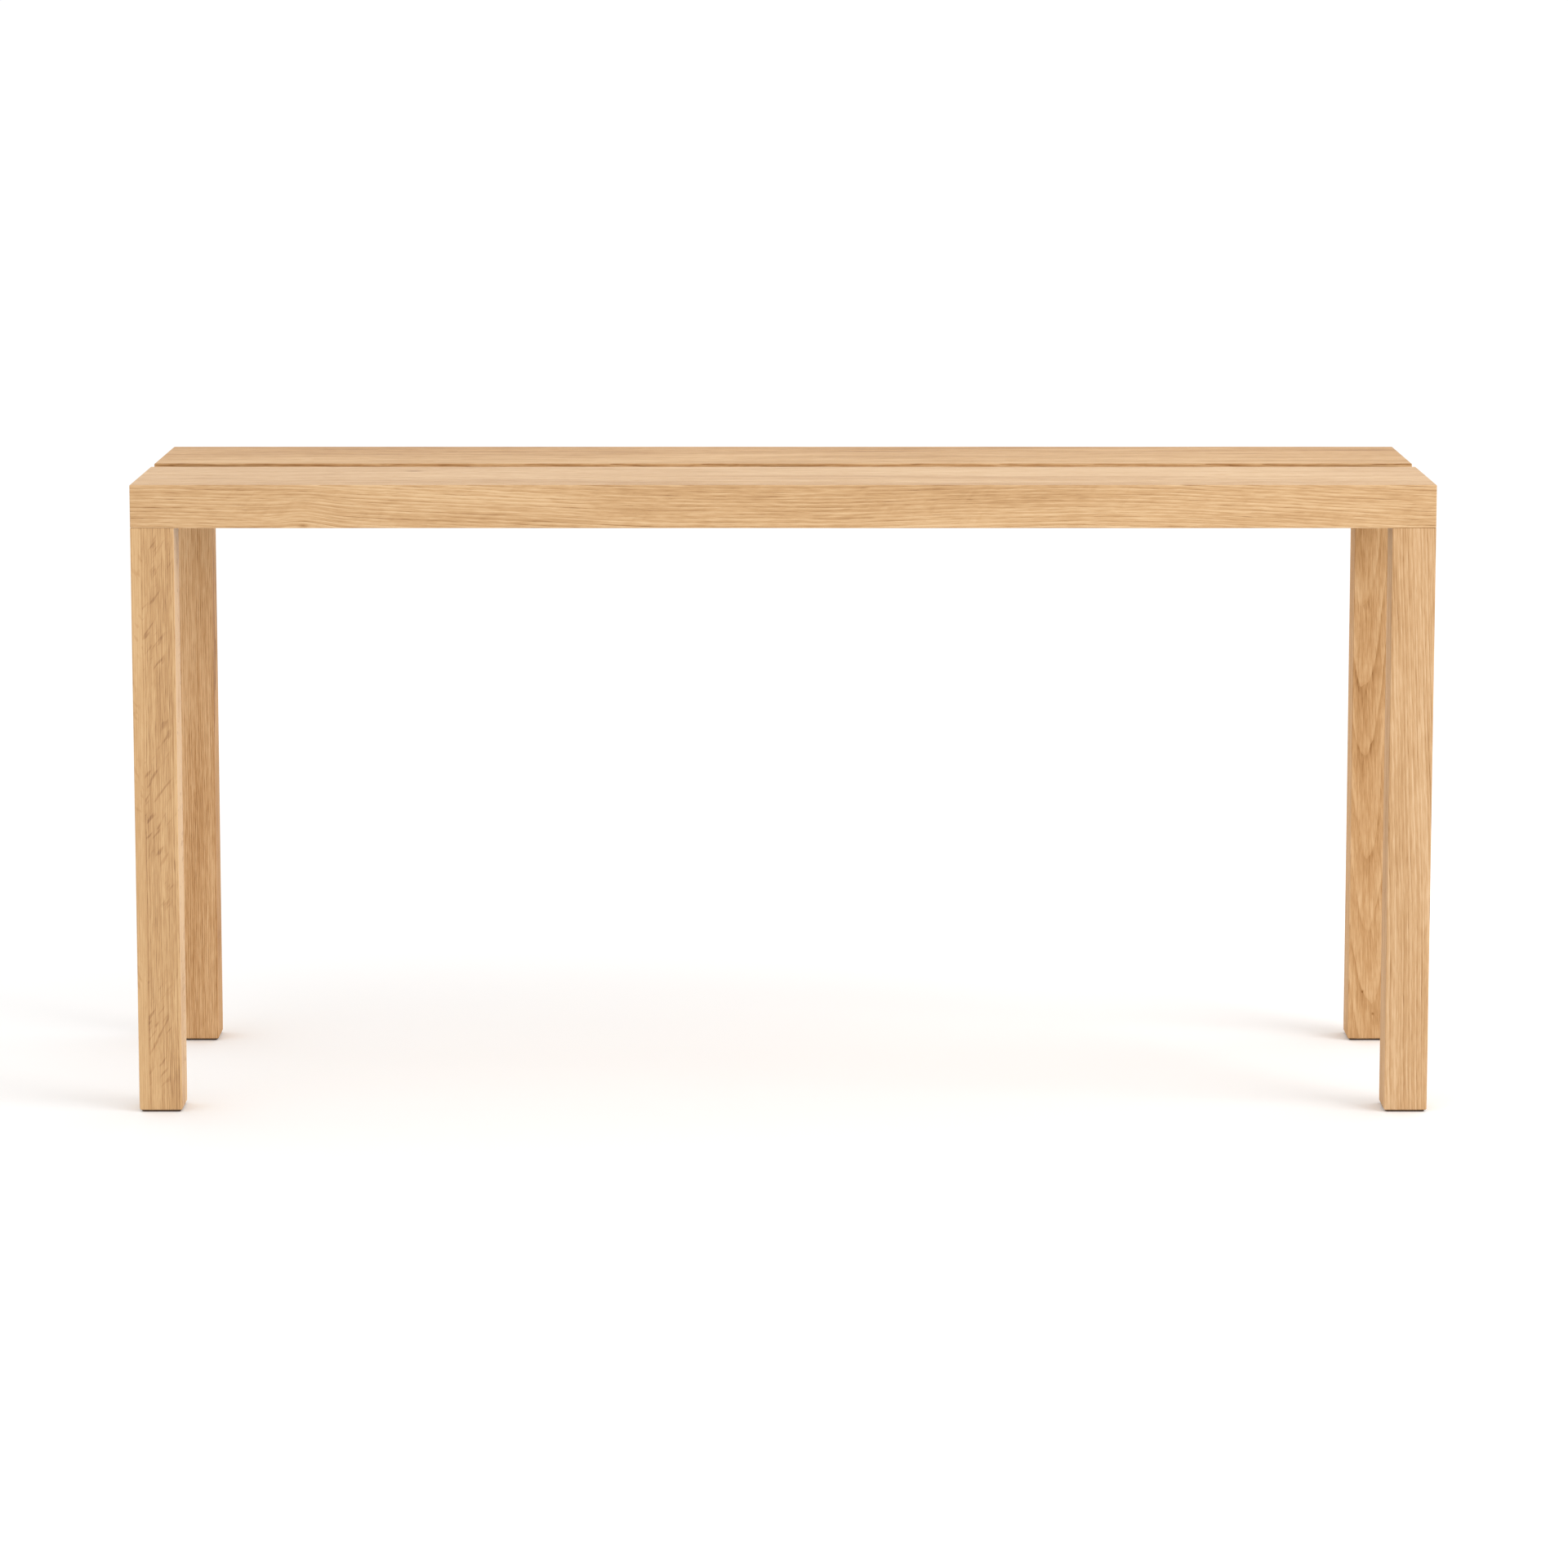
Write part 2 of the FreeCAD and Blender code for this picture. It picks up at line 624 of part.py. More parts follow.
screw_z = f"{SEAT} - Size.screw_head_tall"
for plate_name, end in (("left", -1), ("right", 1)):
    spots = [
        (from_end(end, column), from_edge(edge, row_at))
        for column in SCREW_COLUMNS
        for edge in (-1, 1)
        for row_at in (OUTER_ROW, INNER_ROW)
    ]
    pieces.append(group(f"{plate_name}_plate_screws", screw, spots, screw_z))
bar_spots = [("0", from_edge(edge, row_at)) for edge in (-1, 1) for row_at in (BAR_OUTER_ROW, INNER_ROW)]
pieces.append(group("cross_bar_screws", screw, bar_spots, screw_z))

for plank_name, edge in (("front", -1), ("rear", 1)):
    spots = [
        (from_end(end, column), from_edge(edge, row_at))
        for end in (-1, 1)
        for column in SCREW_COLUMNS
        for row_at in (OUTER_ROW, INNER_ROW)
    ]
    spots += [("0", from_edge(edge, row_at)) for row_at in (BAR_OUTER_ROW, INNER_ROW)]
    mouth = f"{SEAT} + Size.plate_thick + Size.insert_sink"
    pieces.append(group(f"{plank_name}_plank_inserts", plank_insert, spots, mouth))

doc.recompute()
for item in doc.Objects:
    if {"Invalid", "Error"} & set(item.State):
        raise RuntimeError(f"{item.Name} failed: {item.State}")
for piece in pieces:
    if piece.Shape.isNull() or not piece.Shape.isValid() or not piece.Shape.Solids:
        raise RuntimeError(f"{piece.Label} has no valid solid")

os.makedirs("parts", exist_ok=True)
for piece in pieces:
    piece.Shape.exportStep(f"parts/{piece.Label}.step")
    box = piece.Shape.BoundBox
    print(
        f"{piece.Label}: {len(piece.Shape.Solids)} solids, {piece.Shape.Volume / 1000:.1f} cm3,"
        f" x {box.XMin:.1f}..{box.XMax:.1f}, y {box.YMin:.1f}..{box.YMax:.1f},"
        f" z {box.ZMin:.1f}..{box.ZMax:.1f}"
    )
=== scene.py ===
from dataclasses import dataclass

import bpy
import numpy as np
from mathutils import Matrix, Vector


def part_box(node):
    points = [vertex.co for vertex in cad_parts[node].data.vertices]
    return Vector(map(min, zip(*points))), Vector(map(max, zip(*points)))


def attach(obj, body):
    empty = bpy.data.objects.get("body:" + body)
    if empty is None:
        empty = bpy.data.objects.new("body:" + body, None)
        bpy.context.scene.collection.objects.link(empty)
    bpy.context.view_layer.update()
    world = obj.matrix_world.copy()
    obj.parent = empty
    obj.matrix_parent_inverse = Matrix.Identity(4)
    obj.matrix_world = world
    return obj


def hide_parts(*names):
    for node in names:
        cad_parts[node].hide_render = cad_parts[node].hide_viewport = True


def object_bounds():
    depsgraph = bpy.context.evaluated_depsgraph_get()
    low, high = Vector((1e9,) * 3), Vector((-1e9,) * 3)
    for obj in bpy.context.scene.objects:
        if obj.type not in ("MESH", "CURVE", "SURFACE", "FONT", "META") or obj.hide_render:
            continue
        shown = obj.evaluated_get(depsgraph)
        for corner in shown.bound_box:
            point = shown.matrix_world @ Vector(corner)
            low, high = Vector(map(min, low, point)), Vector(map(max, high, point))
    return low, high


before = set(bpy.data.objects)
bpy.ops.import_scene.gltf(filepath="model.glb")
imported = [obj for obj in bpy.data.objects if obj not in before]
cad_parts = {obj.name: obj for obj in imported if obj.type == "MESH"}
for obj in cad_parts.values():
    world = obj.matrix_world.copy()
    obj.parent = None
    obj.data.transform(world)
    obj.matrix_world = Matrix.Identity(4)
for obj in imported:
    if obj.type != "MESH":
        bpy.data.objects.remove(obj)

bl_info = {
    "name": "Communion Table",
    "version": (1, 0, 0),
    "blender": (4, 5, 0),
    "location": "View3D > Sidebar > Communion Table",
    "description": "Oak communion table on its packed frame: timber, hardware and a plain studio",
    "category": "Add Mesh",
}

# Everything is in metres, in the frame's own axes: +X along the table, front towards -Y, +Z up.
CAD_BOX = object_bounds()
MM = 0.001
ROOT = "root"

PLANKS = ("front_top_plank", "rear_top_plank")
CORNERS = ("front_left", "front_right", "rear_left", "rear_right")
LEGS = tuple(f"{corner}_leg" for corner in CORNERS)
STEEL = ("left_end_plate", "right_end_plate", "middle_cross_bar")
SCREWS = ("left_plate_screws", "right_plate_screws", "cross_bar_screws")
BOLTS = tuple(f"{leg}_bolts" for leg in LEGS)
INSERTS = tuple(f"{leg}_inserts" for leg in LEGS) + ("front_plank_inserts", "rear_plank_inserts")
FOOT_PADS = tuple(f"{corner}_foot_pad" for corner in CORNERS)

# Faces that the wood's figure, the screws and the camera are placed from: the front and the back,
# the top, the rear plank's side of the gap, the right legs' inner side and the rear legs' front.
FRONT, REAR = CAD_BOX[0][1], CAD_BOX[1][1]
TOP = CAD_BOX[1][2]
GAP_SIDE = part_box("rear_top_plank")[0].y
LEG_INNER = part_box("front_right_leg")[0].x
REAR_LEG_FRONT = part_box("rear_right_leg")[0].y


@dataclass
class Bend:
    """A place where the grain is pushed aside, or the colour is darker or paler than round about: the
    wood's own tone in some, painted shade and painted highlight in others.

    place    its middle, in the object's own X, Y, Z
    size     how far it reaches along each of them
    push     how far it moves the grain along each of them
    dark     how much it darkens the colour at its middle, or with a minus how much paler it is, for the wood's own tone and for painted shade and painted highlight
    """

    place: tuple
    size: tuple
    push: tuple = (0, 0, 0)
    dark: float = 0.0


@dataclass
class Cut:
    """How a timber was sawn from the log, and how its wood came out.

    along    letter of the axis that the grain runs along
    pith     where the heart of the tree is, across the grain, in the order that AXES gives
    lean     how far the heart wanders in those two directions per metre of length
    ring     width of a year's growth
    lines    how strongly the rings show
    flecks   how much the rays show, from 0 to 1
    figure   contrast of the whole figure
    tint     colour of this wood against the common oak
    sheen    level of the gloss of its oil
    shift    moves the figure, so that no two timbers match
    bends    places where the grain bends or the tone changes, and where shade and highlight are painted
    glue     plane across the first axis where a second board is glued on, if there is one
    """

    along: str
    pith: tuple
    lean: tuple
    ring: float
    lines: float
    flecks: float
    figure: float
    tint: tuple
    sheen: float
    shift: float
    bends: tuple
    glue: float = None


# Bores for the threaded inserts: radius, and depth from the face that the steel lies on.
PLANK_BORE = (5.0 * MM, 21.0 * MM)
LEG_BORE = (6.0 * MM, 29.0 * MM)
# From a screw to the nearest edge of its steel, or to the leg beside it.
SCREW_SIDE = 15.0 * MM
# From a screw to the long edge of its plank.
SCREW_EDGE = 40.0 * MM
# From a leg's two bolts to both of its outer faces.
BOLT_INSETS = (17.5 * MM, 38.0 * MM)
# How far a cutter stands out of the face that it cuts into.
CLEAR = 10.0 * MM
# Grid lines across each rounded edge.
ROUNDING_LINES = 4
# Edges that turn more than this stay sharp.
SHARP_ANGLE = np.radians(32)

# Depth of colour, from 0 for the palest wood to 1 inside a pore: plain wood on a side of a timber,
# plain wood on its end grain, and the line that opens a year.
SIDE_TONE, END_TONE, LINE_TONE = 0.33, 0.50, 0.66
# The board glued to a timber is from another part of the log: this far across it and along it.
# It is paler and has less contrast, and a thin dark line shows where the two boards meet.
GLUED_ACROSS, GLUED_ALONG = -0.43, 1.7
GLUED_TONE, GLUED_CONTRAST = -0.17, -0.45
GLUE_LINE, GLUE_TONE = 0.5 * MM, 0.2

# For grain along X or Z: the two axes across the grain, and the one along it.
AXES = {"x": "YZX", "z": "XYZ"}
# Reach of a bend that goes on past the ends of the timber.
WIDE = 9.0
CUTS = {
    "front_top_plank": Cut(
        along="x", pith=(0.120, 0.455), lean=(0.0, -0.020), ring=2.6 * MM, lines=0.85, flecks=0.15,
        figure=0.84, tint=(0.97, 0.95, 0.92), sheen=0.38, shift=0.0,
        bends=(
            # Two slow waves.
            Bend((-0.12, 0, 0), (0.28, WIDE, WIDE), push=(0, 0, -0.009)),
            Bend((0.42, 0, 0), (0.22, WIDE, WIDE), push=(0, 0, 0.007)),
            # The knot at the lower edge of the front face, and its heart.
            Bend((-0.551, FRONT, 0.688), (0.034, 0.03, 0.034), push=(0, 0, 0.006)),
            Bend((-0.551, FRONT, 0.688), (0.005, 0.01, 0.002), dark=0.45),
            # The middle of the front face is a little darker.
            Bend((0.02, FRONT, 0.700), (0.42, 0.02, 0.05), dark=0.07),
            # A pin knot in the top, and a paler top towards the gap, which is a painted highlight.
            Bend((-0.434, -0.067, TOP), (0.009, 0.005, 0.01), push=(0, 0.003, 0), dark=0.6),
            Bend((0.15, -0.075, TOP), (0.8, 0.07, 0.02), dark=-0.13),
        ),
    ),
    "rear_top_plank": Cut(
        along="x", pith=(0.330, 0.560), lean=(0.030, 0.012), ring=3.0 * MM, lines=1.0, flecks=0.15,
        figure=0.95, tint=(0.95, 0.91, 0.86), sheen=0.10, shift=3.1,
        bends=(
            # Painted shade on its side of the gap, and a painted highlight on the top beside it.
            Bend((0, GAP_SIDE, 0.71), (WIDE, 0.003, WIDE), dark=0.16),
            Bend((0, GAP_SIDE, TOP), (WIDE, 0.10, 0.08), dark=-0.09),
            # Painted shade along the back, and most of all at the left.
            Bend((0, REAR, TOP), (WIDE, 0.10, 0.08), dark=0.11),
            Bend((-0.45, REAR, TOP), (0.4, 0.09, 0.08), dark=0.06),
        ),
    ),
    "front_left_leg": Cut(
        along="z", pith=(-1.060, -0.190), lean=(0.0, 0.0), ring=2.4 * MM, lines=0.85, flecks=1.0,
        figure=0.95, tint=(0.90, 0.82, 0.67), sheen=0.8, shift=5.7,
        bends=(
            # A pale inner side from a painted highlight, strongest low down, and a slightly paler front
            # towards the top.
            Bend((-LEG_INNER, -0.190, 0.150), (0.003, WIDE, 0.60), dark=-0.33),
            Bend((-0.725, FRONT, 0.600), (WIDE, 0.03, 0.20), dark=-0.05),
        ),
        glue=-0.7375,
    ),
    "front_right_leg": Cut(
        along="z", pith=(0.560, -0.080), lean=(-0.045, 0.0), ring=3.8 * MM, lines=0.95, flecks=0.1,
        figure=0.70, tint=(0.97, 0.96, 1.00), sheen=0.02, shift=7.9,
        bends=(
            # The grain turns at the foot, and the inner side is a little darker with painted shade.
            Bend((0.725, -0.2, 0.0), (WIDE, WIDE, 0.16), push=(-0.008, 0, 0)),
            Bend((LEG_INNER, -0.190, 0.340), (0.003, WIDE, WIDE), dark=0.08),
        ),
    ),
    "rear_left_leg": Cut(
        along="z", pith=(-1.040, 0.200), lean=(0.0, 0.0), ring=2.4 * MM, lines=0.95, flecks=0.1,
        figure=0.95, tint=(0.96, 0.90, 0.87), sheen=0.02, shift=11.3,
        bends=(
            # Painted shade darkens the middle of the inner side.
            Bend((-LEG_INNER, 0.190, 0.340), (0.003, WIDE, 0.25), dark=0.12),
        ),
    ),
    "rear_right_leg": Cut(
        along="z", pith=(0.7286, 0.250), lean=(-0.03, -0.035), ring=3.2 * MM, lines=0.75, flecks=0.1,
        figure=0.80, tint=(0.94, 0.88, 0.83), sheen=0.02, shift=13.9,
        bends=(
            # Two dark specks near the foot.
            Bend((0.7174, REAR_LEG_FRONT, 0.062), (0.0012, 0.003, 0.0016), dark=0.6),
            Bend((0.7305, REAR_LEG_FRONT, 0.034), (0.0012, 0.003, 0.0016), dark=0.6),
            # Darker at the top of the front, and a paler inner side.
            Bend((0.705, REAR_LEG_FRONT, 0.660), (0.040, 0.02, 0.120), dark=0.14),
            Bend((LEG_INNER, 0.190, 0.300), (0.003, WIDE, 0.30), dark=-0.14),
        ),
    ),
}


# Settings that a user would change.

def length(name, description, default):
    """A length in metres."""
    return bpy.props.FloatProperty(
        name=name, description=description, default=default, min=0.0, precision=4,
        subtype="DISTANCE", unit="LENGTH",
    )


def tint(name, description, default):
    """A linear colour."""
    return bpy.props.FloatVectorProperty(
        name=name, description=description, default=default, size=3, min=0.0, max=1.0,
        subtype="COLOR",
    )


def share(name, description, default, largest=1.0):
    """A number from 0 to largest."""
    return bpy.props.FloatProperty(
        name=name, description=description, default=default, min=0.0, max=largest, precision=3
    )


class TimberSettings(bpy.types.PropertyGroup):
    """Shape of the sawn and planed timber."""

    arris: length("Arris", "Rounding of the long edges", 1.2 * MM)
    foot_round: length("Foot rounding", "Rounding at the bottom of the legs", 2.3 * MM)
    top_round: length("Leg top rounding", "Rounding where a leg meets its plank", 0.4 * MM)
    grid: length("Grid", "Largest step of the surface grid", 12 * MM)
    wave: length("Plane waves", "Depth of the waves left by the plane", 0.08 * MM)


class OakSettings(bpy.types.PropertyGroup):
    """Colours of the oiled oak, from the deepest line to the palest wood."""

    pore: tint("Pore", "Inside the open pores and the heart of a knot", (0.250, 0.118, 0.043))
    dark: tint("Dark", "Lines that start each year's growth", (0.454, 0.258, 0.112))
    middle: tint("Middle", "Most of the wood", (0.588, 0.365, 0.180))
    pale: tint("Pale", "Dense wood at the end of each year's growth", (0.722, 0.500, 0.284))
    roughness: share("Roughness", "Roughness of the oiled face", 0.52)


class HardwareSettings(bpy.types.PropertyGroup):
    """Colours of the steel, the fasteners and the pads."""

    steel: tint("Steel paint", "Matt black powder coat", (0.016, 0.016, 0.018))
    zinc: tint("Zinc", "Bright zinc plate on bolts and screws", (0.62, 0.63, 0.65))
    brass: tint("Brass", "Turned inserts", (0.72, 0.50, 0.20))
    felt: tint("Felt", "Dark brown felt of the foot pads", (0.045, 0.028, 0.018))


class StageSettings(bpy.types.PropertyGroup):
    """Camera, light and floor."""

    camera_side: length("Camera side", "Camera to the right of the table's middle", 0.001)
    camera_back: length("Camera distance", "Camera in front of the table's front face", 5.8205)
    camera_height: length("Camera height", "Camera above the floor", 1.3704)
    camera_tilt: bpy.props.FloatProperty(
        name="Camera tilt", description="Downward tilt of the camera",
        default=np.radians(7.474), subtype="ANGLE", unit="ROTATION",
    )
    lens: bpy.props.FloatProperty(
        name="Lens", description="Focal length on a 36 mm frame", default=117.2, min=1.0,
        unit="CAMERA",
    )
    rise: bpy.props.FloatProperty(
        name="Lens rise", description="How far the lens is shifted, as a share of the frame",
        default=-0.12,
    )
    floor: tint("Floor", "Colour of the studio floor", (0.93, 0.93, 0.93))
    sky: share("Sky", "Strength of the even white light all round", 1.1, 10.0)
    key: share("Key light", "Power of the large soft light at the front right", 85.0, 5000.0)
    side: share("Side light", "Power of the soft light at the far right", 14.0, 5000.0)
    floor_reach: length("Floor reach", "Half the width of the floor", 120.0)


# Shapes.

def lines_across(low, high, first_round, last_round, step):
    """Positions of grid lines from face to face: evenly spaced between the rounded edges, and at
    inner edge -+ r * tan(a) in the edge bands, where a goes evenly from 0 to 45 degrees."""
    angles = np.linspace(0.0, np.pi / 4, ROUNDING_LINES)
    inner_low, inner_high = low + first_round, high - last_round
    count = max(2, int(np.ceil((inner_high - inner_low) / step)) + 1)
    return np.concatenate([
        inner_low - (first_round * np.tan(angles))[:0:-1],
        np.linspace(inner_low, inner_high, count),
        inner_high + (last_round * np.tan(angles))[1:],
    ])


def box_grids(lines):
    """The six faces of a box as grids. Each face is the plane at one end of an axis, over the grid
    lines of the other two axes, and its quads run anticlockwise seen from outside."""
    corners, quads, start = [], [], 0
    for axis in range(3):
        first, second = (axis + 1) % 3, (axis + 2) % 3
        for end in (0, -1):
            u, v = np.meshgrid(lines[first], lines[second], indexing="ij")
            face = np.empty(u.shape + (3,))
            face[..., axis] = lines[axis][end]
            face[..., first] = u
            face[..., second] = v
            index = start + np.arange(u.size).reshape(u.shape)
            ring = [index[:-1, :-1], index[1:, :-1], index[1:, 1:], index[:-1, 1:]]
            ring = ring if end else ring[::-1]
            quads.append(np.stack(ring, axis=-1).reshape(-1, 4))
            corners.append(face.reshape(-1, 3))
            start += u.size
    points, merged = np.unique(np.concatenate(corners), axis=0, return_inverse=True)
    return points, merged.reshape(-1)[np.concatenate(quads)]


def eased_block(points, low, high, radius):
    """Rounds the box's edges: a point p goes to q + r * (p - q) / |p - q|, where q is p brought
    inside the box shrunk by r, and r may differ from point to point. Also gives the normals."""
    radius = radius[:, None]
    inner = np.clip(points, low + radius, high - radius)
    offset = points - inner
    normals = offset / np.linalg.norm(offset, axis=1)[:, None]
    return inner + radius * normals, normals


def plane_waves(points, depth, shift):
    """Height of the waves left by planing: depth times the mean of three sines of the place, with
    wavelengths of 0.31, 0.47 and 0.19 m in different directions."""
    x, y, z = points.T
    waves = np.sin(2 * np.pi * (x + 0.4 * z) / 0.31 + shift)
    waves += np.sin(2 * np.pi * (z - 0.3 * y) / 0.47 + 2 * shift)
    waves += np.sin(2 * np.pi * (y + 0.5 * x) / 0.19 + 3 * shift)
    return depth * waves / 3


def new_mesh_object(name, points, faces):
    """A mesh object at the origin from arrays of points and of faces with equal numbers of corners."""
    mesh = bpy.data.meshes.new(name)
    sides = faces.shape[1]
    mesh.vertices.add(len(points))
    mesh.vertices.foreach_set("co", points.astype(np.float32).ravel())
    mesh.loops.add(faces.size)
    mesh.loops.foreach_set("vertex_index", faces.astype(np.int32).ravel())
    mesh.polygons.add(len(faces))
    mesh.polygons.foreach_set("loop_start", np.arange(0, faces.size, sides, dtype=np.int32))
    mesh.update(calc_edges=True)
    if mesh.validate():
        raise RuntimeError(f"{name} was not a clean mesh")
    made = bpy.data.objects.new(name, mesh)
    bpy.context.scene.collection.objects.link(made)
    return made


def prism(name, outlines, low, high):
    """Upright prisms: each outline, an array of points anticlockwise, repeated at two heights."""
    mesh = bpy.data.meshes.new(name)
    points, faces, start = [], [], 0
    for outline in outlines:
        count = len(outline)
        floor = np.column_stack([outline, np.full(count, low)])
        roof = np.column_stack([outline, np.full(count, high)])
        points += [floor, roof]
        index = np.arange(count)
        following = np.roll(index, -1)
        walls = np.stack([index, following, following + count, index + count], axis=-1) + start
        faces += walls.tolist()
        faces += [(index[::-1] + start).tolist(), (index + count + start).tolist()]
        start += 2 * count
    mesh.from_pydata(np.concatenate(points).tolist(), [], faces)
    mesh.update()
    made = bpy.data.objects.new(name, mesh)
    bpy.context.scene.collection.objects.link(made)
    return made


def circle_outline(centre, radius, count=48):
    """centre + r * (cos a, sin a) for a once round."""
    turn = np.linspace(0, 2 * np.pi, count, endpoint=False)
    return np.array(centre) + radius * np.column_stack([np.cos(turn), np.sin(turn)])


def rounded_outline(low, high, radius, count=9):
    """A rectangle with round corners: quarter circles about the four inner corners, joined up."""
    quarters = []
    for turns, (x, y) in enumerate((
        (high[0] - radius, high[1] - radius), (low[0] + radius, high[1] - radius),
        (low[0] + radius, low[1] + radius), (high[0] - radius, low[1] + radius),
    )):
        angle = (turns + np.linspace(0, 1, count)) * np.pi / 2
        quarters.append(np.column_stack([x + radius * np.cos(angle), y + radius * np.sin(angle)]))
    return np.concatenate(quarters)


def finish_mesh(piece, cutters):
    """Cuts the cutters out, smooths the rounded edges, keeps the flats flat, and makes it final."""
    for cutter in cutters:
        cut = piece.modifiers.new(cutter.name, "BOOLEAN")
        cut.object = cutter
        cut.operation = "DIFFERENCE"
        cut.solver = "EXACT"
    depsgraph = bpy.context.evaluated_depsgraph_get()
    final = bpy.data.meshes.new_from_object(piece.evaluated_get(depsgraph), depsgraph=depsgraph)
    piece.modifiers.clear()
    piece.data = final
    final.name = piece.name
    final.shade_smooth()
    final.set_sharp_from_angle(angle=SHARP_ANGLE)
    flats = piece.modifiers.new("flat faces", "WEIGHTED_NORMAL")
    flats.keep_sharp = True
    for cutter in cutters:
        bpy.data.objects.remove(cutter)


def stands_for(piece, node):
    """The piece takes the place of its CAD node on the one body."""
    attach(piece, ROOT)
    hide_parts(node)


# Materials.

class Shading:
    """Short ways to add nodes to a node tree."""

    def __init__(self, tree):
        self.tree = tree

    def add(self, kind, inputs=(), **settings):
        """A node with its settings, and its inputs set or linked by name or number."""
        node = self.tree.nodes.new(kind)
        for name, value in settings.items():
            setattr(node, name, value)
        for key, value in dict(inputs).items():
            if isinstance(value, bpy.types.NodeSocket):
                self.tree.links.new(value, node.inputs[key])
            else:
                node.inputs[key].default_value = value
        return node

    def math(self, operation, *values):
        """The result of a Math node."""
        return self.add("ShaderNodeMath", enumerate(values), operation=operation).outputs[0]

    def vector(self, operation, *values):
        """The result of a Vector Math node."""
        return self.add("ShaderNodeVectorMath", enumerate(values), operation=operation).outputs[0]

    def join(self, x, y, z):
        """A vector from three numbers."""
        return self.add("ShaderNodeCombineXYZ", enumerate((x, y, z))).outputs[0]

    def split(self, vector):
        """The three numbers of a vector."""
        return self.add("ShaderNodeSeparateXYZ", {0: vector}).outputs

    def ramp(self, value, low, high, out_low=0.0, out_high=1.0):
        """Value eased from one range to another, and held at the ends."""
        return self.add(
            "ShaderNodeMapRange", {0: value, 1: low, 2: high, 3: out_low, 4: out_high},
            interpolation_type="SMOOTHSTEP", clamp=True,
        ).outputs[0]

    def noise(self, vector, stretch, detail, roughness=0.5):
        """Noise from 0 to 1 with this many features per metre along each axis."""
        scaled = self.vector("MULTIPLY", vector, stretch)
        return self.add(
            "ShaderNodeTexNoise",
            {"Vector": scaled, "Scale": 1.0, "Detail": detail, "Roughness": roughness},
        ).outputs["Fac"]

    def mix(self, factor, first, second, blend="MIX"):
        """Two colours mixed."""
        return self.add(
            "ShaderNodeMix", {0: factor, 6: first, 7: second}, data_type="RGBA", blend_type=blend
        ).outputs[2]


def with_alpha(colour):
    """A colour as a socket takes it."""
    return (*colour, 1.0)


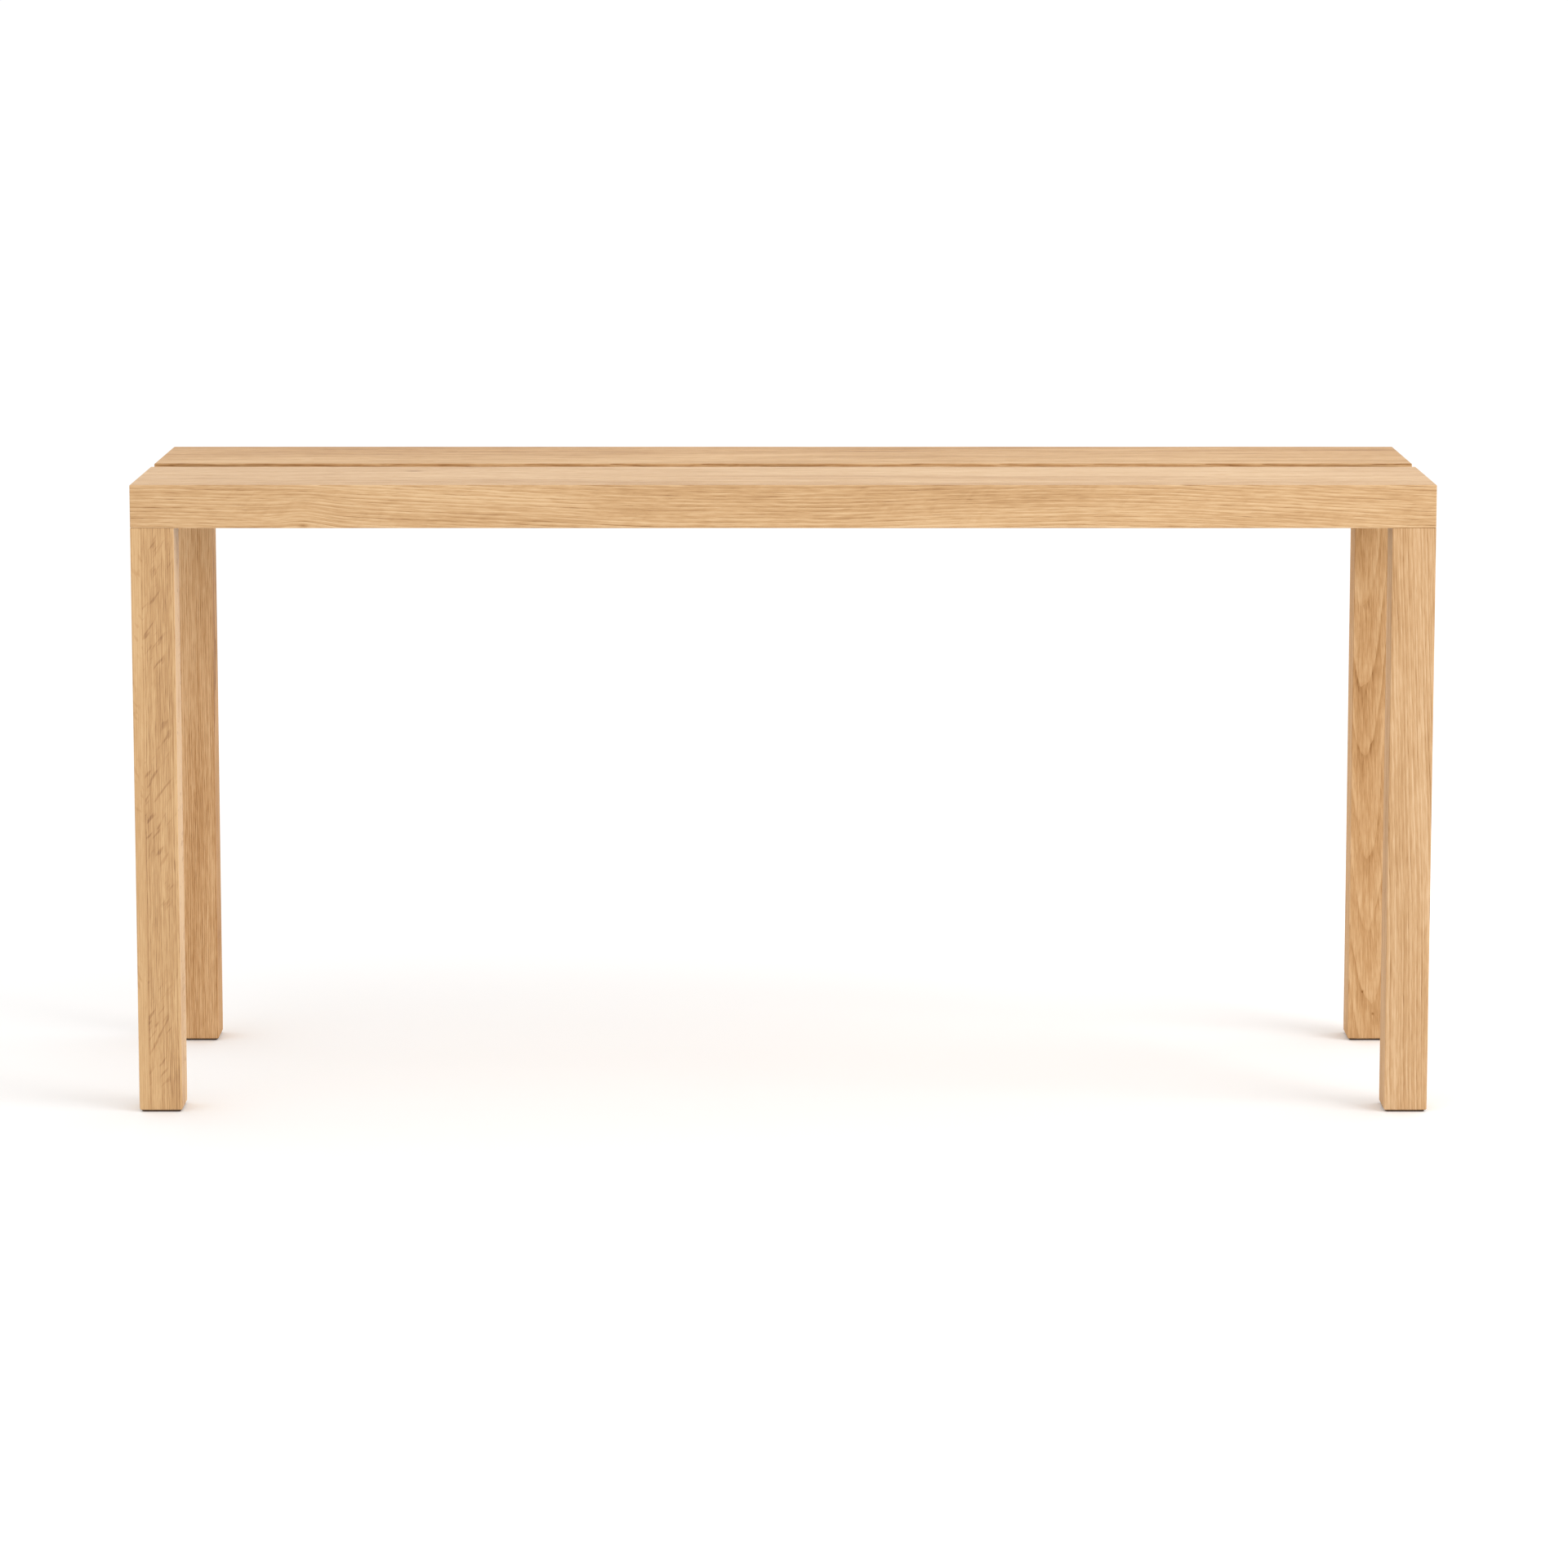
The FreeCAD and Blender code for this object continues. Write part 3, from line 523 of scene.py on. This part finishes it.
def oak_figure():
    """Node group: the colour, roughness and relief of oak at a point of the log.

    The point's distance from the heart, bent by slow noise, is counted in rings. Each ring opens
    with a porous dark line and ends pale, and bands of years are darker or paler. Streaks, fibres
    and pores are noise drawn out along the grain, and rays are noise drawn out away from the
    heart. All add up to one depth of colour, from 0 at the palest to 1 in a pore, and a ramp
    turns that into oak."""
    group = bpy.data.node_groups.new("Oak figure", "ShaderNodeTree")
    for name, kind in (
        ("Grain", "NodeSocketVector"), ("Ring", "NodeSocketFloat"), ("Lines", "NodeSocketFloat"),
        ("Flecks", "NodeSocketFloat"), ("Shift", "NodeSocketFloat"), ("Depth", "NodeSocketFloat"),
        ("Contrast", "NodeSocketFloat"),
    ):
        group.interface.new_socket(name, in_out="INPUT", socket_type=kind)
    for name, kind in (
        ("Color", "NodeSocketColor"), ("Roughness", "NodeSocketFloat"), ("Relief", "NodeSocketFloat"),
    ):
        group.interface.new_socket(name, in_out="OUTPUT", socket_type=kind)
    draw = Shading(group)
    given = group.nodes.new("NodeGroupInput").outputs
    oak = bpy.context.scene.oak_settings

    spot = draw.vector("ADD", given["Grain"], draw.join(given["Shift"], given["Shift"], given["Shift"]))
    across_a, across_b, along = draw.split(given["Grain"])
    distance = draw.math(
        "SQRT", draw.math("MULTIPLY_ADD", across_a, across_a, draw.math("MULTIPLY", across_b, across_b))
    )
    round_log = draw.math("MULTIPLY", draw.math("ARCTAN2", across_b, across_a), distance)

    # The rings bend a little along the log, and are not quite round.
    reach = distance
    for stretch, depth in (
        ((4.0, 4.0, 1.5), 0.010), ((36.0, 36.0, 8.0), 0.0022), ((150.0, 150.0, 16.0), 0.0005),
    ):
        sway = draw.math("SUBTRACT", draw.noise(spot, stretch, 1.0), 0.5)
        reach = draw.math("MULTIPLY_ADD", sway, depth, reach)
    # Some years are wider than others.
    rings = draw.math("DIVIDE", reach, given["Ring"])
    uneven = draw.noise(draw.join(reach, given["Shift"], 0.0), (95.0, 1.0, 1.0), 1.0)
    rings = draw.math("MULTIPLY_ADD", uneven, 2.0, rings)
    phase = draw.math("FRACT", rings)
    count = draw.math("FLOOR", rings)
    opening = draw.ramp(phase, 0.0, 0.34, 1.0, 0.0)
    ending = draw.math("MULTIPLY", draw.ramp(phase, 0.45, 0.85), draw.ramp(phase, 0.92, 1.0, 1.0, 0.4))

    # Each year's line has its own strength, which comes and goes along the grain. The years lie
    # far apart in this noise, so that no year looks like the next.
    year_spot = draw.join(
        draw.math("MULTIPLY_ADD", count, 7.31, given["Shift"]),
        draw.math("MULTIPLY", round_log, 30.0),
        draw.math("MULTIPLY", along, 14.0),
    )
    year = draw.add("ShaderNodeTexNoise", {"Vector": year_spot, "Scale": 1.0, "Detail": 2.0})
    year = draw.ramp(year.outputs["Fac"], 0.30, 0.70)

    bands = draw.noise(draw.join(reach, given["Shift"], along), (60.0, 1.0, 1.2), 2.0)
    broad = draw.noise(spot, (22.0, 22.0, 3.2), 3.0, 0.6)
    streak = draw.noise(spot, (400.0, 400.0, 9.0), 2.0, 0.6)
    fibre = draw.noise(spot, (900.0, 900.0, 48.0), 2.0, 0.6)
    dashes = draw.ramp(draw.noise(spot, (800.0, 800.0, 48.0), 1.0), 0.54, 0.64)
    pores = draw.math("MULTIPLY", dashes, draw.math("MULTIPLY_ADD", opening, 0.8, 0.2))

    # Rays are longest outwards from the heart, shorter round the log and shortest along it, and
    # they slant.
    slant = draw.math("MULTIPLY_ADD", reach, -1.4, along)
    ray_spot = draw.join(
        draw.math("MULTIPLY_ADD", round_log, 60.0, given["Shift"]),
        draw.math("MULTIPLY", draw.math("MULTIPLY_ADD", along, 0.7, reach), 34.0),
        draw.math("MULTIPLY", slant, 125.0),
    )
    rays = draw.add("ShaderNodeTexNoise", {"Vector": ray_spot, "Scale": 1.0, "Detail": 1.0})
    patches = draw.ramp(draw.noise(spot, (38.0, 38.0, 12.0), 1.0), 0.45, 0.60)
    rays = draw.math("MULTIPLY", draw.ramp(rays.outputs["Fac"], 0.56, 0.68), patches)
    rays = draw.math("MULTIPLY", rays, given["Flecks"])

    # The even layers go both ways from the middle tone, and the others only one way.
    depth = 0.0
    for layer, weight in ((bands, 0.80), (broad, 0.85), (streak, 0.90), (fibre, 1.10)):
        depth = draw.math("MULTIPLY_ADD", draw.math("SUBTRACT", layer, 0.5), weight, depth)
    line = draw.math("MULTIPLY", draw.math("MULTIPLY", opening, year), given["Lines"])
    pale = draw.math("MULTIPLY", ending, given["Lines"])
    for layer, weight in ((line, 0.44), (pale, -0.24), (pores, 0.24), (rays, 0.36)):
        depth = draw.math("MULTIPLY_ADD", layer, weight, depth)
    depth = draw.math("MULTIPLY_ADD", depth, given["Contrast"], given["Depth"])
    tones = draw.add("ShaderNodeValToRGB", {0: depth})
    stops = tones.color_ramp.elements
    stops[0].color = with_alpha(oak.pale)
    stops[1].color = with_alpha(oak.pore)
    stops.new(SIDE_TONE).color = with_alpha(oak.middle)
    stops.new(LINE_TONE).color = with_alpha(oak.dark)

    rough = draw.math("MULTIPLY_ADD", pores, 0.20, oak.roughness)
    rough = draw.math("MULTIPLY_ADD", draw.math("SUBTRACT", streak, 0.5), 0.15, rough)
    relief = draw.math("MULTIPLY", pores, -1.0)
    relief = draw.math("MULTIPLY_ADD", line, -0.25, relief)
    relief = draw.math("MULTIPLY_ADD", fibre, 0.3, relief)
    draw.add("NodeGroupOutput", {"Color": tones.outputs[0], "Roughness": rough, "Relief": relief})
    return group


def new_material(name):
    """A material with an empty tree, its shader and its output."""
    material = bpy.data.materials.new(name)
    material.use_nodes = True
    material.node_tree.nodes.clear()
    draw = Shading(material.node_tree)
    shader = draw.add("ShaderNodeBsdfPrincipled")
    output = draw.add("ShaderNodeOutputMaterial", {"Surface": shader.outputs[0]})
    output.is_active_output = True
    return material, draw, shader


def bent_grain(draw, place, cut):
    """The point before the grain was bent, and how dark the bends make it. Each bend pushes by
    push * exp(-|(point - place) / size|^2)."""
    moved, dark = place, 0.0
    for bend in cut.bends:
        near = draw.vector("DIVIDE", draw.vector("SUBTRACT", place, bend.place), bend.size)
        square = draw.add("ShaderNodeVectorMath", {0: near, 1: near}, operation="DOT_PRODUCT")
        fall = draw.math("EXPONENT", draw.math("MULTIPLY", square.outputs["Value"], -1.0))
        shove = draw.add("ShaderNodeVectorMath", {0: bend.push, "Scale": fall}, operation="SCALE")
        moved = draw.vector("SUBTRACT", moved, shove.outputs[0])
        dark = draw.math("MULTIPLY_ADD", fall, bend.dark, dark)
    return moved, dark


def oak_material(name, cut):
    """Oak for one timber, drawn from where the timber sat in the log."""
    group = bpy.data.node_groups.get("Oak figure") or oak_figure()
    material, draw, shader = new_material(f"Oak {name.replace('_', ' ')}")
    places = draw.add("ShaderNodeTexCoord").outputs
    moved, dark = bent_grain(draw, places["Object"], cut)
    order = ["XYZ".index(letter) for letter in AXES[cut.along]]
    here = draw.split(moved)
    first, second, along = (here[index] for index in order)
    facing = draw.math("ABSOLUTE", draw.split(places["Normal"])[order[2]])
    depth = draw.math("ADD", dark, draw.ramp(facing, 0.5, 0.9, SIDE_TONE, END_TONE))
    contrast = cut.figure
    if cut.glue is not None:
        side = draw.math("LESS_THAN", first, cut.glue)
        first = draw.math("MULTIPLY_ADD", side, GLUED_ACROSS, first)
        along = draw.math("MULTIPLY_ADD", side, GLUED_ALONG, along)
        depth = draw.math("MULTIPLY_ADD", side, GLUED_TONE, depth)
        contrast = draw.math("MULTIPLY_ADD", side, GLUED_CONTRAST, cut.figure)
        across = draw.split(places["Object"])[order[0]]
        seam = draw.math("ABSOLUTE", draw.math("SUBTRACT", across, cut.glue))
        depth = draw.math("ADD", depth, draw.ramp(seam, 0.0, GLUE_LINE, GLUE_TONE, 0.0))
    grain = draw.join(
        draw.math("SUBTRACT", draw.math("MULTIPLY_ADD", along, -cut.lean[0], first), cut.pith[0]),
        draw.math("SUBTRACT", draw.math("MULTIPLY_ADD", along, -cut.lean[1], second), cut.pith[1]),
        along,
    )
    figure = draw.add(
        "ShaderNodeGroup",
        {"Grain": grain, "Depth": depth, "Ring": cut.ring, "Lines": cut.lines,
         "Flecks": cut.flecks, "Shift": cut.shift, "Contrast": contrast},
        node_tree=group,
    ).outputs
    colour = draw.mix(1.0, figure["Color"], with_alpha(cut.tint), "MULTIPLY")
    bump = draw.add(
        "ShaderNodeBump", {"Strength": 0.3, "Distance": 0.0003, "Height": figure["Relief"]}
    )
    for source, target in ((colour, "Base Color"), (figure["Roughness"], "Roughness"),
                           (bump.outputs[0], "Normal")):
        draw.tree.links.new(source, shader.inputs[target])
    shader.inputs["IOR"].default_value = 1.46
    shader.inputs["Specular IOR Level"].default_value = cut.sheen
    return material


def painted_steel():
    """Matt black powder coat: a fine orange-peel skin with slight changes of gloss."""
    material, draw, shader = new_material("Black steel")
    here = draw.add("ShaderNodeTexCoord").outputs["Object"]
    skin = draw.noise(here, (1400.0, 1400.0, 1400.0), 2.0)
    cloud = draw.noise(here, (35.0, 35.0, 35.0), 2.0)
    steel = bpy.context.scene.hardware_settings.steel
    colour = draw.mix(cloud, with_alpha(steel), with_alpha([1.7 * part for part in steel]))
    bump = draw.add("ShaderNodeBump", {"Strength": 0.25, "Distance": 0.0002, "Height": skin})
    draw.tree.links.new(colour, shader.inputs["Base Color"])
    draw.tree.links.new(draw.ramp(cloud, 0.2, 0.8, 0.46, 0.60), shader.inputs["Roughness"])
    draw.tree.links.new(bump.outputs[0], shader.inputs["Normal"])
    return material


def bare_metal(name, colour, rough_low, rough_high):
    """Turned or plated metal: clouded plating with fine turning marks round each fastener."""
    material, draw, shader = new_material(name)
    here = draw.add("ShaderNodeTexCoord").outputs["Object"]
    cloud = draw.noise(here, (260.0, 260.0, 260.0), 3.0)
    marks = draw.noise(here, (120.0, 120.0, 5200.0), 2.0)
    duller = with_alpha([0.72 * part for part in colour])
    draw.tree.links.new(draw.mix(cloud, duller, with_alpha(colour)), shader.inputs["Base Color"])
    draw.tree.links.new(draw.ramp(cloud, 0.3, 0.7, rough_low, rough_high), shader.inputs["Roughness"])
    bump = draw.add("ShaderNodeBump", {"Strength": 0.2, "Distance": 0.00005, "Height": marks})
    draw.tree.links.new(bump.outputs[0], shader.inputs["Normal"])
    shader.inputs["Metallic"].default_value = 1.0
    return material


def felt():
    """Pressed wool felt: short crossing fibres, mottled, with a soft sheen."""
    material, draw, shader = new_material("Brown felt")
    here = draw.add("ShaderNodeTexCoord").outputs["Object"]
    hairs = draw.noise(here, (5200.0, 900.0, 3000.0), 2.0)
    crossing = draw.noise(here, (900.0, 5200.0, 3000.0), 2.0)
    mottle = draw.math("MULTIPLY", draw.math("ADD", hairs, crossing), 0.5)
    colour = bpy.context.scene.hardware_settings.felt
    lighter = with_alpha([2.2 * part for part in colour])
    draw.tree.links.new(draw.mix(mottle, with_alpha(colour), lighter), shader.inputs["Base Color"])
    bump = draw.add("ShaderNodeBump", {"Strength": 0.6, "Distance": 0.0004, "Height": mottle})
    draw.tree.links.new(bump.outputs[0], shader.inputs["Normal"])
    shader.inputs["Roughness"].default_value = 0.95
    shader.inputs["Sheen Weight"].default_value = 0.3
    return material


def wear(nodes, material):
    """Gives CAD nodes a material."""
    for node in nodes:
        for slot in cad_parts[node].material_slots:
            slot.material = material


# Timber pieces.

def make_timber(node, rounds, cutters):
    """One timber in the box of its CAD node: a rounded block with its planing waves and its cuts.
    rounds gives the edge radius at the low and high ends along Z; elsewhere it is the arris."""
    timber = bpy.context.scene.timber_settings
    cut = CUTS[node]
    low, high = (np.array(corner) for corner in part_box(node))
    bottom, top = rounds
    lines = [
        lines_across(low[0], high[0], timber.arris, timber.arris, timber.grid),
        lines_across(low[1], high[1], timber.arris, timber.arris, timber.grid),
        lines_across(low[2], high[2], bottom, top, timber.grid),
    ]
    points, quads = box_grids(lines)
    # The arris eases into the ends' own roundings, over four times the larger of the two.
    ease = 4 * max(bottom, top)
    near_bottom = np.clip(1 - (points[:, 2] - low[2]) / ease, 0, 1)
    near_top = np.clip(1 - (high[2] - points[:, 2]) / ease, 0, 1)
    radius = timber.arris + (bottom - timber.arris) * near_bottom + (top - timber.arris) * near_top
    points, normals = eased_block(points, low, high, radius)
    points += normals * plane_waves(points, timber.wave, cut.shift)[:, None]
    piece = new_mesh_object(f"{node}_timber", points, quads)
    finish_mesh(piece, cutters)
    piece.data.materials.append(oak_material(node, cut))
    stands_for(piece, node)


def let_in(node, steel):
    """Outline of the recess for a steel piece in a plank: the piece with a little play, run out
    past the plank's inner edge."""
    play, corner, beyond = 0.5 * MM, 8 * MM, 32 * MM
    low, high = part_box(steel)
    plank_low, plank_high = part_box(node)
    rear = plank_low.y > 0
    start = plank_low.y - beyond if rear else low.y - play
    stop = high.y + play if rear else plank_high.y + beyond
    return rounded_outline((low.x - play, start), (high.x + play, stop), corner + play)


def screw_places(node):
    """Centres of a plank's screws. Each end plate has two columns of them, beside the leg and at
    its inner edge, and the cross bar has one. A column has a screw by either edge of the plank."""
    side = 1 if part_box(node)[0].y > 0 else -1
    inner, outer = sorted(abs(corner.y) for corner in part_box(node))
    beside_leg = LEG_INNER - SCREW_SIDE
    beside_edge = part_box("right_end_plate")[0].x + SCREW_SIDE
    bar_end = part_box("middle_cross_bar")[1].y
    rows = (outer - SCREW_EDGE, inner + SCREW_EDGE)
    bar_rows = (bar_end - SCREW_SIDE, inner + SCREW_EDGE)
    columns = (-beside_leg, -beside_edge, beside_edge, beside_leg)
    return [(x, side * y) for x in columns for y in rows] + [(0.0, side * y) for y in bar_rows]


def bolt_places(node):
    """Centres of a leg's bolts, on the diagonal from its outer corner."""
    low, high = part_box(node)
    corner = np.array((low.x if low.x < 0 else high.x, low.y if low.y < 0 else high.y))
    return [corner - np.sign(corner) * inset for inset in BOLT_INSETS]


class TABLE_OT_top_planks(bpy.types.Operator):
    """Make the two top planks, with the recesses and bores in their undersides"""

    bl_idname = "table.top_planks"
    bl_label = "Top planks"

    def execute(self, context):
        """Each plank is a rounded block, cut by the outlines of the steel pieces and of the inserts."""
        arris = context.scene.timber_settings.arris
        radius, deep = PLANK_BORE
        for node in PLANKS:
            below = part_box(node)[0].z - CLEAR
            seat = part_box(STEEL[0])[1].z
            recesses = prism("recesses", [let_in(node, steel) for steel in STEEL], below, seat)
            circles = [circle_outline(place, radius) for place in screw_places(node)]
            make_timber(node, (arris, arris), [recesses, prism("bores", circles, below, seat + deep)])
        return {"FINISHED"}


class TABLE_OT_legs(bpy.types.Operator):
    """Make the four legs"""

    bl_idname = "table.legs"
    bl_label = "Legs"

    def execute(self, context):
        """Each leg is a rounded block, rounder at the foot and nearly sharp under the plank, with
        two bores in its top."""
        timber = context.scene.timber_settings
        radius, deep = LEG_BORE
        for node in LEGS:
            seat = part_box(node)[1].z
            circles = [circle_outline(place, radius) for place in bolt_places(node)]
            bores = prism("bores", circles, seat - deep, seat + CLEAR)
            make_timber(node, (timber.foot_round, timber.top_round), [bores])
        return {"FINISHED"}


class TABLE_OT_steel(bpy.types.Operator):
    """Paint the end plates and the cross bar"""

    bl_idname = "table.steel"
    bl_label = "Steel plates"

    def execute(self, context):
        """The shapes are the CAD nodes' own."""
        wear(STEEL, painted_steel())
        return {"FINISHED"}


class TABLE_OT_fasteners(bpy.types.Operator):
    """Finish the screws, bolts and inserts"""

    bl_idname = "table.fasteners"
    bl_label = "Fasteners"

    def execute(self, context):
        """The shapes are the CAD nodes' own."""
        hardware = context.scene.hardware_settings
        wear(SCREWS + BOLTS, bare_metal("Zinc plate", hardware.zinc, 0.26, 0.40))
        wear(INSERTS, bare_metal("Turned brass", hardware.brass, 0.22, 0.36))
        return {"FINISHED"}


class TABLE_OT_foot_pads(bpy.types.Operator):
    """Finish the felt pads under the legs"""

    bl_idname = "table.foot_pads"
    bl_label = "Foot pads"

    def execute(self, context):
        """The shapes are the CAD nodes' own."""
        wear(FOOT_PADS, felt())
        return {"FINISHED"}


def area_light(name, place, aim, size, power):
    """A large soft white light, turned to face a point."""
    data = bpy.data.lights.new(name, "AREA")
    data.shape = "RECTANGLE"
    data.size, data.size_y = size
    data.energy = power
    light = bpy.data.objects.new(name, data)
    bpy.context.scene.collection.objects.link(light)
    light.location = place
    light.rotation_euler = (Vector(aim) - Vector(place)).to_track_quat("-Z", "Y").to_euler()


class TABLE_OT_studio(bpy.types.Operator):
    """Set up the pale floor, the soft light and the camera"""

    bl_idname = "table.studio"
    bl_label = "Studio"

    def execute(self, context):
        """The camera looks along +Y, a little down, from in front of the table."""
        scene = context.scene
        stage = scene.stage_settings
        reach = stage.floor_reach
        corners = np.array([(-reach, -reach), (reach, -reach), (reach, reach), (-reach, reach)])
        points = np.column_stack([corners, np.full(4, CAD_BOX[0][2])])
        floor = new_mesh_object("studio_floor", points, np.array([[0, 1, 2, 3]]))
        material, _, shader = new_material("Studio floor")
        shader.inputs["Base Color"].default_value = with_alpha(stage.floor)
        shader.inputs["Roughness"].default_value = 1.0
        shader.inputs["Specular IOR Level"].default_value = 0.0
        floor.data.materials.append(material)

        world = bpy.data.worlds.new("Even white light")
        world.use_nodes = True
        background = world.node_tree.nodes["Background"]
        background.inputs["Color"].default_value = with_alpha((1.0, 1.0, 1.0))
        background.inputs["Strength"].default_value = stage.sky
        scene.world = world
        middle = (0.0, 0.0, 0.4)
        area_light("key", place=(4.0, -2.2, 3.0), aim=middle, size=(3.0, 3.0), power=stage.key)
        area_light("side", place=(4.5, 1.5, 1.5), aim=middle, size=(2.0, 3.0), power=stage.side)
        scene.view_settings.view_transform = "Standard"

        camera = bpy.data.cameras.new("camera")
        camera.lens = stage.lens
        camera.sensor_width = 36.0
        camera.clip_end = 400.0
        camera.shift_y = stage.rise
        viewer = bpy.data.objects.new("camera", camera)
        scene.collection.objects.link(viewer)
        viewer.location = (stage.camera_side, FRONT - stage.camera_back, stage.camera_height)
        viewer.rotation_euler = (np.pi / 2 - stage.camera_tilt, 0.0, 0.0)
        scene.camera = viewer
        return {"FINISHED"}


class TABLE_PT_sidebar(bpy.types.Panel):
    """The table's settings and the steps that make it"""

    bl_idname = "TABLE_PT_sidebar"
    bl_label = "Communion Table"
    bl_space_type = "VIEW_3D"
    bl_region_type = "UI"
    bl_category = "Communion Table"

    def draw(self, context):
        """One box for each group of settings, then a button for each step."""
        for name in SETTINGS:
            group = getattr(context.scene, name)
            box = self.layout.box()
            for field in group.bl_rna.properties:
                if field.identifier not in ("rna_type", "name"):
                    box.prop(group, field.identifier)
        for step in STEPS:
            self.layout.operator(step.bl_idname)


SETTINGS = {
    "timber_settings": TimberSettings,
    "oak_settings": OakSettings,
    "hardware_settings": HardwareSettings,
    "stage_settings": StageSettings,
}
STEPS = (
    TABLE_OT_top_planks,
    TABLE_OT_legs,
    TABLE_OT_steel,
    TABLE_OT_fasteners,
    TABLE_OT_foot_pads,
    TABLE_OT_studio,
)
CLASSES = (*SETTINGS.values(), *STEPS, TABLE_PT_sidebar)


def register():
    """Adds the classes, and the settings to every scene."""
    for item in CLASSES:
        bpy.utils.register_class(item)
    for name, group in SETTINGS.items():
        setattr(bpy.types.Scene, name, bpy.props.PointerProperty(type=group))


def unregister():
    """Takes the settings and the classes away again."""
    for name in SETTINGS:
        delattr(bpy.types.Scene, name)
    for item in reversed(CLASSES):
        bpy.utils.unregister_class(item)


def main():
    register()
    bpy.ops.table.top_planks()
    bpy.ops.table.legs()
    bpy.ops.table.steel()
    bpy.ops.table.fasteners()
    bpy.ops.table.foot_pads()
    bpy.ops.table.studio()


if __name__ == "__main__":
    main()
